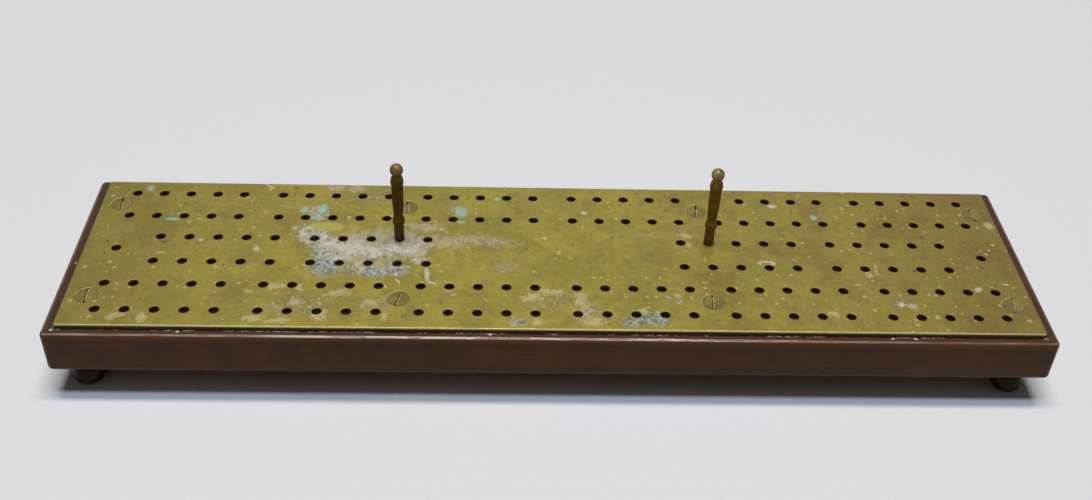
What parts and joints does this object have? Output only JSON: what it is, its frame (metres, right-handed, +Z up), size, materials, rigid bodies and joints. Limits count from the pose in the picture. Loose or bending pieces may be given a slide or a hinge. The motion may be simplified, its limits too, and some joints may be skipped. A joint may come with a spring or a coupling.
{
  "type": "cribbage box",
  "caption": "Long low wooden cribbage box with a drilled brass playing plate, turned brass pegs, turned feet and a shallow peg drawer in one end.",
  "frame": {"origin": "on the surface the feet stand on, at the middle of the whole footprint, knob included", "axes": "+X along the board towards the drawer's knob, +Y towards the back, +Z up out of the playing plate"},
  "size_m": [0.3328, 0.0834, 0.0608],
  "materials": {
    "mahogany": "french polished, dark with age",
    "inner_wood": "bare mahogany",
    "foot_wood": "dark gloss polish",
    "plate_brass": "tarnished and blotched",
    "screw_brass": "tarnished",
    "peg_brass": "dark patina, brighter on the ball",
    "knob_brass": "worn"
  },
  "bodies": {
    "case": {"front_rail": "mahogany", "back_rail": "mahogany", "left_end_rail": "mahogany", "right_end_rail": "mahogany", "peg_bed": "inner_wood", "bottom_board": "inner_wood", "drawer_guide_front": "inner_wood", "drawer_guide_back": "inner_wood", "drawer_stop": "inner_wood", "brass_plate": "plate_brass", "plate_screws": "screw_brass", "foot_front_left": "foot_wood", "foot_front_right": "foot_wood", "foot_back_left": "foot_wood", "foot_back_right": "foot_wood"},
    "drawer": {"drawer_front": "mahogany", "drawer_side_front": "inner_wood", "drawer_side_back": "inner_wood", "drawer_back": "inner_wood", "drawer_bottom": "inner_wood", "drawer_knob": "knob_brass"},
    "left_peg": {"peg_left": "peg_brass"},
    "right_peg": {"peg_right": "peg_brass"}
  },
  "joints": [
    {"name": "drawer_slide", "type": "slide", "parent": "case", "child": "drawer", "axis": [1, 0, 0], "range_m": [0, 0.115]},
    {"name": "peg_left_lift", "type": "slide", "parent": "case", "child": "left_peg", "axis": [0, 0, 1], "range_m": [0, 0.045]},
    {"name": "peg_right_lift", "type": "slide", "parent": "case", "child": "right_peg", "axis": [0, 0, 1], "range_m": [0, 0.045]}
  ]
}
